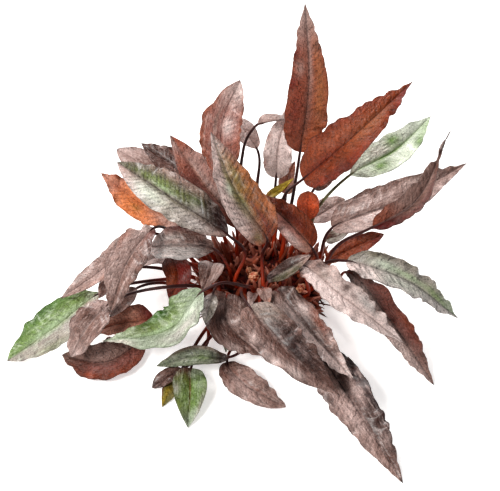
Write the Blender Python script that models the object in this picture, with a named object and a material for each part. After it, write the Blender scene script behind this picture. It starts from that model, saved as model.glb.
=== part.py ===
"""A clump of Cryptocoryne beckettii, cut off level with the ground it grew in.

Every leaf, its stalk included, is one solid, and all of them grow from one root crown. The leaves were
set out from a photograph: a point is given by the pixel where it shows and by its height above the
ground, and in_space() turns the two into a place. Sizes are in millimetres until a mesh is made.
"""

import math
from collections import namedtuple

import bmesh
import bpy
import numpy as np
from mathutils import Matrix, Vector

MM = 0.001

# The photograph's view: the camera's height above the horizon, its distance from the crown, and the
# scale and place of the crown in the picture.
VIEW_ELEVATION = math.radians(50)
VIEW_DISTANCE = 900.0
MM_PER_PIXEL = 0.54
PICTURE_CENTRE = (250.0, 245.5)
CROWN_PIXEL = (262.0, 290.0)

RIGHT = np.array((1.0, 0.0, 0.0))
UPWARD = np.array((0.0, math.sin(VIEW_ELEVATION), math.cos(VIEW_ELEVATION)))
TOWARD = np.array((0.0, -math.cos(VIEW_ELEVATION), math.sin(VIEW_ELEVATION)))

# The root crown: a low mound of rhizome with a flat cut below, and short young stems fused to its top.
CROWN_RADIUS_X = 33.0
CROWN_RADIUS_Y = 28.0
CROWN_HEIGHT = 14.0
CROWN_SIDES = 28
CROWN_LEVELS = 14
CROWN_LUMP = 0.9
DENTS_AROUND = 5
DENTS_BETWEEN = 3
DENT_TWIST = 9
STEM_COUNT = 15
STEM_RADIUS = 1.5
STEM_TIP_RADIUS = 0.8
STEM_HEIGHT = 14.0
STEM_HEIGHT_CHANGE = 0.25
STEM_SPREAD = 11.0
STEM_FOOT = 8.4
STEM_LEAN = 0.035

# Where the stalks leave the crown: the outer, middle and inner ring, as angles up the mound.
RING_ANGLES = (math.radians(16), math.radians(38), math.radians(60))
RING_SPACING = 4.6
SPREADING_PASSES = 200
ROOT_GAP = 0.45
ROOT_RISE = 6.0

# A leaf's own form. Its upper face looks up and a little towards the viewer at BELLY_SHARE of the blade.
STALK_SIDES = 6
FIRST_SIDE = math.radians(150)
MIDRIB_CORNERS = (1, 4)
UPPER_FACE = np.array((0.0, -0.2, 1.0))
BELLY_SHARE = 0.45
ROOT_RADIUS = 1.4
NECK_RADIUS = 1.0
STALK_STATIONS = 5
BLADE_STATIONS = 14
MIDRIB_THICKNESS = 0.9
RUFFLE_HEIGHT = 0.8
SPINE_STEPS = 16
FINE_STEPS = 200

# A colour by name: sRGB red, green and blue from 0 to 1.
COLOURS = {
    "plum": (0.50, 0.37, 0.35),
    "bronze": (0.55, 0.27, 0.17),
    "umber": (0.36, 0.22, 0.19),
    "rose": (0.72, 0.58, 0.57),
    "green": (0.40, 0.58, 0.33),
    "pale_green": (0.62, 0.76, 0.52),
    "grey_green": (0.50, 0.55, 0.46),
    "orange": (0.74, 0.40, 0.22),
    "red": (0.70, 0.22, 0.12),
    "yellow": (0.72, 0.66, 0.22),
}
CROWN_COLOUR = (0.45, 0.20, 0.12)
LEAF_ROUGHNESS = 0.42
CROWN_ROUGHNESS = 0.65

# One leaf: its root ring (0 outer, 1 middle, 2 inner), then neck, belly and tip as (pixel across,
# pixel down, height), its full width, how far each half folds up from the midrib in degrees, its
# colour, places its stalk passes, how many sections the blade is drawn in, and its outline: the half
# width follows s ** narrow_base * (1 - s) ** narrow_tip at the share s of the blade.
Leaf = namedtuple(
    "Leaf", "name ring neck belly tip width fold colour via sections narrow_base narrow_tip",
    defaults=(14, "plum", (), BLADE_STATIONS, 0.5, 1.0),
)

LEAVES = (
    # At the back
    Leaf("leaf_tall", 2, (300, 152, 75), (309, 80, 118), (305, 3, 150), 22,
         fold=10, colour="bronze", via=((294, 190, 46),)),
    Leaf("leaf_bronze", 2, (303, 179, 74), (350, 139, 96), (413, 81, 112), 26,
         fold=10, colour="bronze", via=((285, 195, 52),), narrow_base=0.5, narrow_tip=1.15),
    Leaf("leaf_bronze_small", 1, (314, 189, 50), (335, 165, 62), (356, 146, 70), 13,
         colour="umber", sections=7),
    Leaf("leaf_pale_green", 1, (350, 175, 60), (395, 150, 73), (431, 116, 80), 20,
         fold=8, colour="pale_green", via=((316, 211, 40),), narrow_base=0.8, narrow_tip=1.1),
    Leaf("leaf_back_rose", 1, (276, 178, 50), (279, 142, 70), (291, 105, 84), 16,
         fold=10, colour="rose"),
    Leaf("leaf_back_small", 1, (257, 149, 60), (247, 134, 66), (236, 118, 70), 12,
         colour="rose", sections=7, via=((257, 190, 38),), narrow_base=0.8, narrow_tip=0.7),
    Leaf("leaf_curled", 1, (258, 124, 82), (272, 120, 88), (287, 119, 88), 7,
         fold=50, colour="rose", via=((242, 158, 62), (247, 138, 74)), sections=7,
         narrow_base=0.6, narrow_tip=0.6),
    Leaf("leaf_pink_upright", 1, (226, 178, 56), (222, 124, 86), (240, 80, 106), 22,
         fold=12, colour="plum", via=((240, 206, 30),), narrow_base=0.7, narrow_tip=0.8),
    Leaf("leaf_centre_tall", 2, (267, 240, 54), (238, 195, 82), (211, 132, 102), 24,
         fold=16, colour="grey_green", via=((262, 257, 34),)),
    Leaf("leaf_centre_red", 1, (312, 248, 41), (287, 221, 54), (255, 193, 60), 19,
         fold=20, colour="bronze", via=((318, 262, 27),)),
    Leaf("leaf_scarlet", 2, (306, 219, 38), (308, 205, 47), (308, 191, 54), 13,
         colour="red", sections=7, narrow_base=0.6, narrow_tip=0.5),
    Leaf("leaf_yellow", 2, (266, 199, 46), (280, 189, 52), (294, 178, 57), 5,
         colour="yellow", sections=6),
    Leaf("leaf_behind_tall", 1, (286, 194, 34), (288, 177, 45), (295, 161, 52), 9,
         colour="plum", sections=7),
    # Upper left
    Leaf("leaf_olive", 2, (228, 235, 52), (175, 200, 66), (117, 162, 62), 25,
         fold=12, colour="grey_green", via=((245, 252, 38),), narrow_base=0.7, narrow_tip=0.9),
    Leaf("leaf_dark_umber", 1, (214, 208, 33), (179, 171, 44), (141, 143, 50), 20,
         colour="umber", narrow_base=0.8, narrow_tip=1.0),
    Leaf("leaf_far_rose", 0, (190, 205, 30), (152, 171, 38), (117, 149, 38), 17,
         colour="rose", sections=9, narrow_base=0.9, narrow_tip=0.7),
    Leaf("leaf_bronze_left", 2, (236, 228, 37), (203, 183, 54), (170, 135, 66), 20,
         colour="bronze", narrow_base=0.8, narrow_tip=1.0),
    Leaf("leaf_orange_left", 1, (184, 228, 28), (140, 203, 34), (101, 173, 42), 22,
         colour="orange", narrow_base=0.8, narrow_tip=1.0),
    # Left
    Leaf("leaf_grey_left", 2, (214, 249, 43), (180, 244, 49), (150, 247, 38), 20,
         colour="plum", via=((229, 268, 30),), narrow_base=0.6, narrow_tip=0.6),
    Leaf("leaf_left_under", 0, (138, 233, 34), (106, 266, 37), (61, 298, 26), 13,
         colour="plum", via=((178, 243, 20),), narrow_base=0.8, narrow_tip=0.9),
    Leaf("leaf_left_arching", 1, (154, 228, 53), (127, 262, 52), (110, 312, 39), 20,
         fold=22, colour="plum", via=((182, 241, 29),), narrow_base=0.8, narrow_tip=1.0),
    Leaf("leaf_left_green", 0, (100, 293, 18), (59, 324, 16), (7, 361, 1), 24,
         colour="green", via=((168, 279, 12),), narrow_base=0.8, narrow_tip=0.9),
    Leaf("leaf_left_brown", 1, (110, 303, 32), (87, 327, 30), (71, 357, 14), 17,
         colour="plum", via=((180, 286, 36),), narrow_base=0.6, narrow_tip=0.8),
    Leaf("leaf_left_russet", 0, (154, 318, 13), (122, 323, 14), (90, 333, 9), 17,
         colour="red", sections=9),
    Leaf("leaf_left_low", 0, (146, 338, 5), (105, 362, 5), (62, 355, 1), 23,
         colour="bronze", narrow_base=0.7, narrow_tip=0.9),
    Leaf("leaf_left_short", 0, (137, 288, 20), (123, 301, 23), (110, 317, 20), 10,
         colour="umber", sections=7, via=((165, 283, 14),), narrow_base=0.9, narrow_tip=0.9),
    Leaf("leaf_left_dark", 0, (118, 272, 26), (108, 284, 28), (99, 298, 26), 9,
         colour="umber", sections=7, via=((163, 269, 22),), narrow_base=0.9, narrow_tip=0.9),
    Leaf("leaf_dark_red", 1, (173, 257, 32), (178, 278, 31), (169, 300, 20), 15,
         colour="red", sections=9),
    Leaf("leaf_pink_left", 1, (173, 260, 24), (158, 257, 29), (138, 266, 29), 10,
         colour="rose", sections=7),
    # Front left
    Leaf("leaf_front_green", 2, (203, 291, 46), (175, 325, 36), (102, 341, 20), 22,
         fold=14, colour="green", via=((244, 286, 38), (217, 284, 48)),
         narrow_base=0.6, narrow_tip=1.3),
    Leaf("leaf_front_short", 1, (214, 264, 25), (209, 276, 31), (202, 291, 31), 14,
         colour="plum", via=((220, 284, 17),), sections=8),
    Leaf("leaf_front_narrow", 1, (213, 293, 35), (209, 307, 36), (205, 324, 28), 8,
         colour="grey_green", via=((219, 287, 24),), sections=8, narrow_base=0.9, narrow_tip=1.0),
    Leaf("leaf_front_left", 1, (227, 294, 25), (226, 319, 23), (262, 356, 10), 24,
         colour="plum"),
    Leaf("leaf_low_grey", 0, (230, 357, 14), (195, 356, 16), (156, 366, 7), 11,
         colour="grey_green", sections=9, narrow_base=0.8, narrow_tip=1.0),
    Leaf("leaf_low_green", 0, (191, 368, 9), (190, 395, 8), (188, 428, 1), 18,
         colour="green", sections=9),
    Leaf("leaf_low_brown", 0, (183, 369, 6), (168, 376, 6), (152, 388, 2), 9,
         colour="umber", via=((208, 340, 4),), sections=7, narrow_base=0.8, narrow_tip=0.8),
    Leaf("leaf_low_yellow", 0, (178, 376, 2), (170, 391, 2), (162, 407, 1), 9,
         fold=4, colour="yellow", sections=7),
    Leaf("leaf_low_plum", 0, (227, 362, 6), (247, 386, 7), (286, 407, 1), 17,
         colour="plum", sections=9, narrow_base=0.5, narrow_tip=0.8),
    Leaf("leaf_low_tip", 0, (227, 334, 15), (226, 343, 14), (226, 353, 10), 4,
         colour="green", sections=5),
    # Front right
    Leaf("leaf_front_longest", 0, (314, 346, 8), (352, 402, 14), (403, 483, 1), 25,
         colour="plum", narrow_base=0.6, narrow_tip=1.0),
    Leaf("leaf_front_dark", 2, (249, 306, 47), (283, 346, 42), (340, 396, 27), 25,
         colour="umber", via=((241, 291, 31),)),
    Leaf("leaf_front_right", 1, (276, 290, 34), (310, 332, 28), (354, 380, 20), 19,
         colour="plum"),
    Leaf("leaf_centre_dark", 1, (267, 283, 30), (288, 269, 40), (311, 255, 47), 10,
         colour="umber", sections=8, narrow_base=0.9, narrow_tip=0.9),
    Leaf("leaf_centre_rose", 1, (263, 288, 37), (266, 296, 39), (269, 305, 36), 8,
         colour="rose", sections=6),
    Leaf("leaf_centre_plum", 1, (253, 293, 23), (251, 300, 26), (249, 307, 24), 6,
         colour="plum", sections=6),
    # Right
    Leaf("leaf_right_rose", 1, (303, 266, 38), (345, 298, 38), (404, 343, 20), 18,
         colour="rose"),
    Leaf("leaf_right_bronze", 0, (345, 272, 24), (391, 322, 19), (434, 385, 1), 17,
         colour="bronze", narrow_base=0.8, narrow_tip=1.0),
    Leaf("leaf_right_green", 1, (347, 261, 48), (405, 279, 44), (458, 318, 22), 18,
         colour="grey_green", via=((324, 264, 34),)),
    Leaf("leaf_right_orange", 0, (325, 263, 24), (353, 248, 34), (384, 234, 38), 12,
         colour="orange", sections=8, narrow_base=0.8, narrow_tip=0.8),
    Leaf("leaf_right_plum", 1, (332, 228, 48), (393, 203, 62), (467, 163, 60), 23,
         colour="plum", narrow_base=0.5, narrow_tip=1.1),
    Leaf("leaf_right_twisted", 1, (373, 227, 65), (408, 208, 75), (450, 131, 92), 16,
         fold=40, colour="bronze", via=((338, 245, 44),), narrow_base=0.7, narrow_tip=2.0),
    Leaf("leaf_right_back", 0, (309, 222, 26), (326, 211, 31), (345, 199, 35), 14,
         colour="rose", sections=8, narrow_base=0.8, narrow_tip=0.8),
    Leaf("leaf_right_small", 0, (326, 240, 26), (338, 236, 30), (350, 231, 32), 8,
         colour="green", sections=6),
)


def unit(vector):
    return vector / np.linalg.norm(vector)


def in_space(across, down, height):
    """The place at this height, in millimetres, that shows at this pixel of the photograph."""
    off_x = (CROWN_PIXEL[0] - PICTURE_CENTRE[0]) * MM_PER_PIXEL
    off_y = (PICTURE_CENTRE[1] - CROWN_PIXEL[1]) * MM_PER_PIXEL
    camera = TOWARD * VIEW_DISTANCE - RIGHT * off_x - UPWARD * off_y
    sight = RIGHT * (across - PICTURE_CENTRE[0]) + UPWARD * (PICTURE_CENTRE[1] - down)
    sight = sight * MM_PER_PIXEL - TOWARD * VIEW_DISTANCE
    return camera + sight * (height - camera[2]) / sight[2]


def on_crown(azimuth, ring):
    """A place on the crown's surface, and the way straight out of it."""
    rise = RING_ANGLES[ring]
    radii = np.array((CROWN_RADIUS_X, CROWN_RADIUS_Y, CROWN_HEIGHT))
    flat = math.cos(rise)
    sphere = np.array((flat * math.cos(azimuth), flat * math.sin(azimuth), math.sin(rise)))
    return sphere * radii, unit(sphere / radii)


def root_azimuths():
    """Each leaf's bearing on the crown: that of its stalk, eased apart from its neighbours' in the ring."""
    bearings = {}
    for ring in range(len(RING_ANGLES)):
        wanted = []
        for leaf in LEAVES:
            if leaf.ring == ring:
                first = in_space(*(leaf.via[0] if leaf.via else leaf.neck))
                wanted.append([math.atan2(first[1], first[0]), leaf.name])
        wanted.sort()
        radius = (CROWN_RADIUS_X + CROWN_RADIUS_Y) / 2 * math.cos(RING_ANGLES[ring])
        apart = RING_SPACING / radius
        for _ in range(SPREADING_PASSES):
            for index, entry in enumerate(wanted):
                following = wanted[(index + 1) % len(wanted)]
                between = (following[0] - entry[0] + math.pi) % math.tau - math.pi
                push = max(0.0, apart - between) / 2
                entry[0] -= push
                following[0] += push
        bearings.update({name: azimuth for azimuth, name in wanted})
    return bearings


def smooth_line(points, first_way):
    """A smooth curve through the points that starts off along first_way, in SPINE_STEPS to a span."""
    points = [np.asarray(point, float) for point in points]
    spans = [second - first for first, second in zip(points, points[1:])]
    gaps = [np.linalg.norm(span) for span in spans]
    ways = [first_way]
    for before, after, gap_before, gap_after in zip(spans, spans[1:], gaps, gaps[1:]):
        mixed = before / gap_before * gap_after + after / gap_after * gap_before
        ways.append(mixed / (gap_before + gap_after))
    ways.append(unit(spans[-1]))
    line = [points[0]]
    for index, gap in enumerate(gaps):
        for step in range(1, SPINE_STEPS + 1):
            at = step / SPINE_STEPS
            line.append(
                (1 + 2 * at) * (1 - at) ** 2 * points[index]
                + at * (1 - at) ** 2 * gap * ways[index]
                + at ** 2 * (3 - 2 * at) * points[index + 1]
                + at ** 2 * (at - 1) * gap * ways[index + 1]
            )
    return np.array(line)


def along(line, count):
    """Places evenly spaced along a line, in this many steps."""
    steps = np.linalg.norm(np.diff(line, axis=0), axis=1)
    run = np.concatenate(([0.0], np.cumsum(steps)))
    wanted = np.linspace(0, run[-1], count + 1)
    return np.stack([np.interp(wanted, run, line[:, axis]) for axis in range(3)], axis=1)


def blade_share(leaf, at):
    """The blade's half width, as a share of its widest, at this share of its length from the neck."""
    widest = leaf.narrow_base / (leaf.narrow_base + leaf.narrow_tip)
    most = widest ** leaf.narrow_base * (1 - widest) ** leaf.narrow_tip
    return at ** leaf.narrow_base * (1 - at) ** leaf.narrow_tip / most


def leaf_path(leaf, bearing):
    """The middle line of a leaf: the stalk's part from the crown to the neck, and the blade's part."""
    surface, outward = on_crown(bearing, leaf.ring)
    root = surface + outward * ROOT_GAP
    places = [root, root + outward * ROOT_RISE]
    places += [in_space(*place) for place in (*leaf.via, leaf.neck, leaf.belly, leaf.tip)]
    line = smooth_line(places, outward)
    neck = SPINE_STEPS * (len(places) - 3)
    return line[:neck + 1], line[neck:]


def upper_faces(ahead, belly):
    """The way out of the upper face at each place, carried from the belly to both ends untwisted."""
    upper = [None] * len(ahead)
    upper[belly] = unit(UPPER_FACE - ahead[belly] * (UPPER_FACE @ ahead[belly]))
    for order in (range(belly + 1, len(ahead)), range(belly - 1, -1, -1)):
        carried = upper[belly]
        for index in order:
            carried = unit(carried - ahead[index] * (carried @ ahead[index]))
            upper[index] = carried
    return upper


def leaf_sections(leaf, bearing):
    """Rings of six places each, round the stalk and then round the blade, and the tip."""
    stalk_line, blade_line = leaf_path(leaf, bearing)
    even = np.linspace(0, 1, leaf.sections + 1)
    shares = (even + (1 - np.cos(math.pi * even)) / 2) / 2
    stalk = along(stalk_line, STALK_STATIONS)
    fine = along(blade_line, FINE_STEPS)
    blade = fine[np.rint(shares * FINE_STEPS).astype(int)]
    middle = np.concatenate((stalk, blade[1:]))
    ahead = [unit(way) for way in np.gradient(middle, axis=0)]
    upper = upper_faces(ahead, STALK_STATIONS + round(leaf.sections * BELLY_SHARE))
    rings = []
    for index, (place, way, up) in enumerate(zip(middle[:-1], ahead, upper)):
        right = np.cross(way, up)
        if index <= STALK_STATIONS:
            radius = ROOT_RADIUS + (NECK_RADIUS - ROOT_RADIUS) * index / STALK_STATIONS
            turns = [FIRST_SIDE - math.tau / STALK_SIDES * side for side in range(STALK_SIDES)]
            rings.append([place + radius * (right * math.cos(t) + up * math.sin(t)) for t in turns])
            continue
        share = blade_share(leaf, shares[index - STALK_STATIONS])
        rise = math.radians(leaf.fold)
        half = leaf.width / 2 * share
        ruffle = RUFFLE_HEIGHT * share * (1 if index % 2 else -1)
        reach = half * math.cos(rise)
        lift = half * math.sin(rise)
        left_edge = place - right * reach + up * (lift + ruffle)
        right_edge = place + right * reach + up * (lift - ruffle)
        top = place + up * MIDRIB_THICKNESS / 2
        bottom = place - up * MIDRIB_THICKNESS / 2
        rings.append([left_edge, top, right_edge, right_edge, bottom, left_edge])
    return rings, middle[-1]


def loft(mesh, rings, tip):
    """A closed skin over the rings, flat across the first and drawn to a point at the tip.

    Each four-sided patch is split from a corner of the midrib on the ring after, so that the blade's upper
    and lower skins have the same creases and never pass through each other.
    """
    loops = [[mesh.verts.new(place * MM) for place in ring] for ring in rings]
    point = mesh.verts.new(tip * MM)
    mesh.faces.new(loops[0])
    for before, after in zip(loops, loops[1:]):
        for side in range(STALK_SIDES):
            onward = (side + 1) % STALK_SIDES
            if onward in MIDRIB_CORNERS:
                mesh.faces.new((before[side], before[onward], after[onward]))
                mesh.faces.new((before[side], after[onward], after[side]))
            else:
                mesh.faces.new((before[side], before[onward], after[side]))
                mesh.faces.new((before[onward], after[onward], after[side]))
    for side in range(STALK_SIDES):
        mesh.faces.new((loops[-1][side], loops[-1][(side + 1) % STALK_SIDES], point))
    bmesh.ops.remove_doubles(mesh, verts=mesh.verts[:], dist=1e-7)
    bmesh.ops.recalc_face_normals(mesh, faces=mesh.faces[:])


def finish(name, rgb, roughness):
    """A plain Principled finish of this sRGB colour."""
    material = bpy.data.materials.new(name)
    material.use_nodes = True
    shader = material.node_tree.nodes["Principled BSDF"]
    shader.inputs["Base Color"].default_value = (*(part ** 2.2 for part in rgb), 1.0)
    shader.inputs["Roughness"].default_value = roughness
    shader.inputs["Metallic"].default_value = 0.0
    return material


def to_object(mesh, name, collection):
    """A bmesh as an object of its own."""
    data = bpy.data.meshes.new(name)
    mesh.to_mesh(data)
    mesh.free()
    thing = bpy.data.objects.new(name, data)
    collection.objects.link(thing)
    return thing


def make_leaf(leaf, bearing, collection):
    mesh = bmesh.new()
    loft(mesh, *leaf_sections(leaf, bearing))
    thing = to_object(mesh, leaf.name, collection)
    thing.data.materials.append(finish(leaf.name, COLOURS[leaf.colour], LEAF_ROUGHNESS))
    thing.data.shade_smooth()
    return thing


def make_mound(collection):
    """The rhizome: half an ellipsoid with shallow dents, flat below."""
    mesh = bmesh.new()
    bmesh.ops.create_uvsphere(mesh, u_segments=CROWN_SIDES, v_segments=CROWN_LEVELS, radius=1.0)
    cut = mesh.verts[:] + mesh.edges[:] + mesh.faces[:]
    bmesh.ops.bisect_plane(mesh, geom=cut, plane_co=(0, 0, 0), plane_no=(0, 0, -1), clear_outer=True)
    bmesh.ops.holes_fill(mesh, edges=[edge for edge in mesh.edges if edge.is_boundary])
    for vert in mesh.verts:
        around = math.atan2(vert.co.y, vert.co.x)
        wave = math.sin(DENTS_AROUND * around + DENT_TWIST * vert.co.z)
        dent = (1 + wave * math.cos(DENTS_BETWEEN * around)) / 2
        narrow = 1 - CROWN_LUMP * dent * math.hypot(vert.co.x, vert.co.y) / CROWN_RADIUS_Y
        vert.co.x *= CROWN_RADIUS_X * narrow * MM
        vert.co.y *= CROWN_RADIUS_Y * narrow * MM
        vert.co.z *= CROWN_HEIGHT * MM
    bmesh.ops.recalc_face_normals(mesh, faces=mesh.faces[:])
    return to_object(mesh, "crown", collection)


def make_crown(collection, helpers):
    """The mound with its young stems, which lean away from the middle."""
    crown = make_mound(collection)
    golden = math.pi * (3 - math.sqrt(5))
    for count in range(STEM_COUNT):
        away = STEM_SPREAD * math.sqrt((count + 0.5) / STEM_COUNT)
        around = golden * count
        spot = Vector((away * math.cos(around), away * math.sin(around), STEM_FOOT))
        lean = Vector((spot.x * STEM_LEAN, spot.y * STEM_LEAN, 1.0)).normalized()
        height = STEM_HEIGHT * (1.0 + STEM_HEIGHT_CHANGE * math.sin(golden * count))
        turn = lean.to_track_quat("Z", "Y").to_matrix().to_4x4()
        mesh = bmesh.new()
        bmesh.ops.create_cone(
            mesh, cap_ends=True, segments=STALK_SIDES, radius1=STEM_RADIUS * MM,
            radius2=STEM_TIP_RADIUS * MM, depth=height * MM,
            matrix=Matrix.Translation((spot + lean * height / 2) * MM) @ turn,
        )
        stem = to_object(mesh, f"young_stem_{count + 1}", helpers)
        stem.hide_render = True
        stem.display_type = "WIRE"
        union = crown.modifiers.new(stem.name, "BOOLEAN")
        union.operation = "UNION"
        union.solver = "EXACT"
        union.object = stem
    crown.data.materials.append(finish("crown", CROWN_COLOUR, CROWN_ROUGHNESS))
    return crown


def main():
    for thing in list(bpy.data.objects):
        bpy.data.objects.remove(thing, do_unlink=True)
    plant = bpy.data.collections.new("cryptocoryne_beckettii")
    helpers = bpy.data.collections.new("helpers")
    bpy.context.scene.collection.children.link(plant)
    bpy.context.scene.collection.children.link(helpers)
    make_crown(plant, helpers)
    bearings = root_azimuths()
    for leaf in LEAVES:
        make_leaf(leaf, bearings[leaf.name], plant)


main()
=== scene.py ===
"""The looks of a clump of Cryptocoryne beckettii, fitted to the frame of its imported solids.

Every leaf follows the same middle line as its solid, so its places are given in the same way: a pixel of
the photograph and a height above the ground, which in_space() turns into a place in millimetres. On that
line the blade gets its waved margin, quilting, thickness and colours, and a rib along its back.
"""

import math
import random
from collections import namedtuple
from functools import partial

import bpy
import numpy as np
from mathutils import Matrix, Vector


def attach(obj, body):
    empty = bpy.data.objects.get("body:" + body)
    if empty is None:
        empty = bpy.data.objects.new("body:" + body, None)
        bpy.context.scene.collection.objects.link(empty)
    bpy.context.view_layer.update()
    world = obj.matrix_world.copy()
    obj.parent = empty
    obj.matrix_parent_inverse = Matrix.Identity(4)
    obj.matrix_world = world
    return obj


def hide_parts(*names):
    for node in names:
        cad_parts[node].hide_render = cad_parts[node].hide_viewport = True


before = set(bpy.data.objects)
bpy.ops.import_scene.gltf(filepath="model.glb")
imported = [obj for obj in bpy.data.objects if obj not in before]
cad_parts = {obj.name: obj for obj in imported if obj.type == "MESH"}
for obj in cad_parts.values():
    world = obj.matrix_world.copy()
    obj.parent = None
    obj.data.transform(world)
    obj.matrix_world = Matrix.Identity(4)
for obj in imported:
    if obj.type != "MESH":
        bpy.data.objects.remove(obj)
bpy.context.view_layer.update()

MM = 0.001

# The photograph's view: the camera's height above the horizon, its distance from the crown, and the
# scale and place of the crown in the picture.
VIEW_ELEVATION = math.radians(50)
VIEW_DISTANCE = 900.0
MM_PER_PIXEL = 0.54
PICTURE_WIDTH = 500.0
PICTURE_CENTRE = (250.0, 245.5)
CROWN_PIXEL = (262.0, 290.0)
SENSOR_WIDTH = 36.0

RIGHT = np.array((1.0, 0.0, 0.0))
UPWARD = np.array((0.0, math.sin(VIEW_ELEVATION), math.cos(VIEW_ELEVATION)))
TOWARD = np.array((0.0, -math.cos(VIEW_ELEVATION), math.sin(VIEW_ELEVATION)))

# The root crown, and where the stalks leave it: rings as angles up the mound.
CROWN_RADII = np.array((33.0, 28.0, 14.0))
RING_ANGLES = (math.radians(16), math.radians(38), math.radians(60))
RING_SPACING = 4.6
SPREADING_PASSES = 200
ROOT_GAP = 0.45
ROOT_RISE = 6.0
ROOT_DEPTH = 2.0

# A leaf's own form. Its upper face looks up and a little towards the viewer at BELLY_SHARE of the blade.
ROOT_RADIUS = 1.20
NECK_RADIUS = 0.68
SPINE_STEPS = 16
UPPER_FACE = np.array((0.0, -0.2, 1.0))
BELLY_SHARE = 0.45

# One leaf, as in the solids: its root ring (0 outer, 1 middle, 2 inner), then neck, belly and tip as
# (pixel across, pixel down, height), its full width, its finish, how far each half folds up from the
# midrib in degrees, places its stalk passes, and its outline: the half width follows
# s ** outline[0] * (1 - s) ** outline[1] at the share s of the blade.
Leaf = namedtuple("Leaf", "name ring neck belly tip width finish fold via outline",
                  defaults=(14, (), (0.5, 1.0)))

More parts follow.
